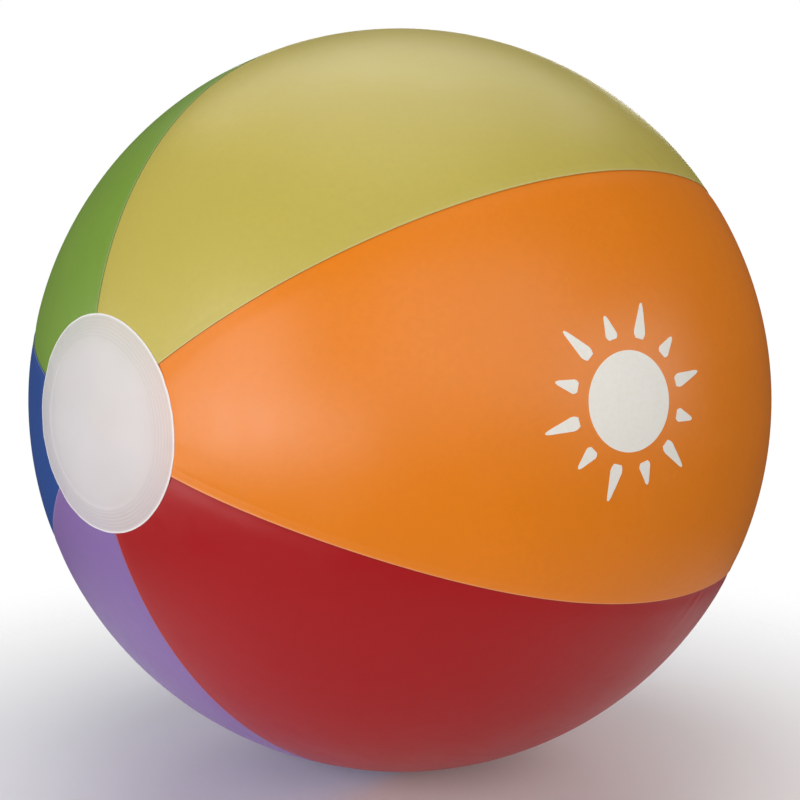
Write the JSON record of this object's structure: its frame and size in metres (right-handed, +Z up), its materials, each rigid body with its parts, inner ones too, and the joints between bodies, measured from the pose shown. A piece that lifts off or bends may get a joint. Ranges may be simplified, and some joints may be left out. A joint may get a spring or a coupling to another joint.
{
  "type": "inflatable beach ball",
  "caption": "Inflated round beach ball of lapped film gores in rainbow colours, closed by a round end disc at each pole, one carrying a push-in air valve with a tethered plug.",
  "frame": {"origin": "centre of the inflated ball", "axes": "+Z up; the axis through the two end discs lies along Y, with the plain disc facing -Y and the valve facing +Y; +X completes the right-handed frame and runs out near the middle of the orange gore"},
  "size_m": [0.3, 0.3002, 0.3],
  "materials": {
    "film_orange": "satin-gloss calendered vinyl film",
    "film_yellow": "satin-gloss calendered vinyl film",
    "film_green": "satin-gloss calendered vinyl film",
    "film_blue": "satin-gloss calendered vinyl film",
    "film_purple": "satin-gloss calendered vinyl film",
    "film_red": "satin-gloss calendered vinyl film",
    "film_white": "satin-gloss white vinyl film, slightly translucent",
    "valve_vinyl": "soft moulded vinyl, milky",
    "flap_film": "clear soft vinyl film",
    "print_ink": "white screen-printed ink"
  },
  "bodies": {
    "ball": {"panel_orange": "film_orange", "panel_yellow": "film_yellow", "panel_green": "film_green", "panel_blue": "film_blue", "panel_purple": "film_purple", "panel_red": "film_red", "end_disc_plain": "film_white", "end_disc_valve": "film_white", "valve_flange": "valve_vinyl"},
    "valve": {"valve_stem": "valve_vinyl", "valve_skirt": "valve_vinyl"},
    "plug": {"valve_plug": "valve_vinyl", "plug_strap": "valve_vinyl"},
    "flap": {"check_flap": "flap_film"}
  },
  "joints": [
    {"name": "valve_slide", "type": "slide", "parent": "ball", "child": "valve", "axis": [0, 1, 0], "range_m": [0, 0.015], "deforming": ["valve_skirt"]},
    {"name": "plug_hinge", "type": "hinge", "parent": "valve", "child": "plug", "pos_m": [0, 0.1484, 0.0095], "axis": [1, 0, 0], "range_deg": [0, 110]},
    {"name": "flap_hinge", "type": "hinge", "parent": "valve", "child": "flap", "pos_m": [0, 0.1345, 0.0052], "axis": [-1, 0, 0], "range_deg": [0, 60], "stiffness_Nm_per_rad": 0.0005}
  ]
}
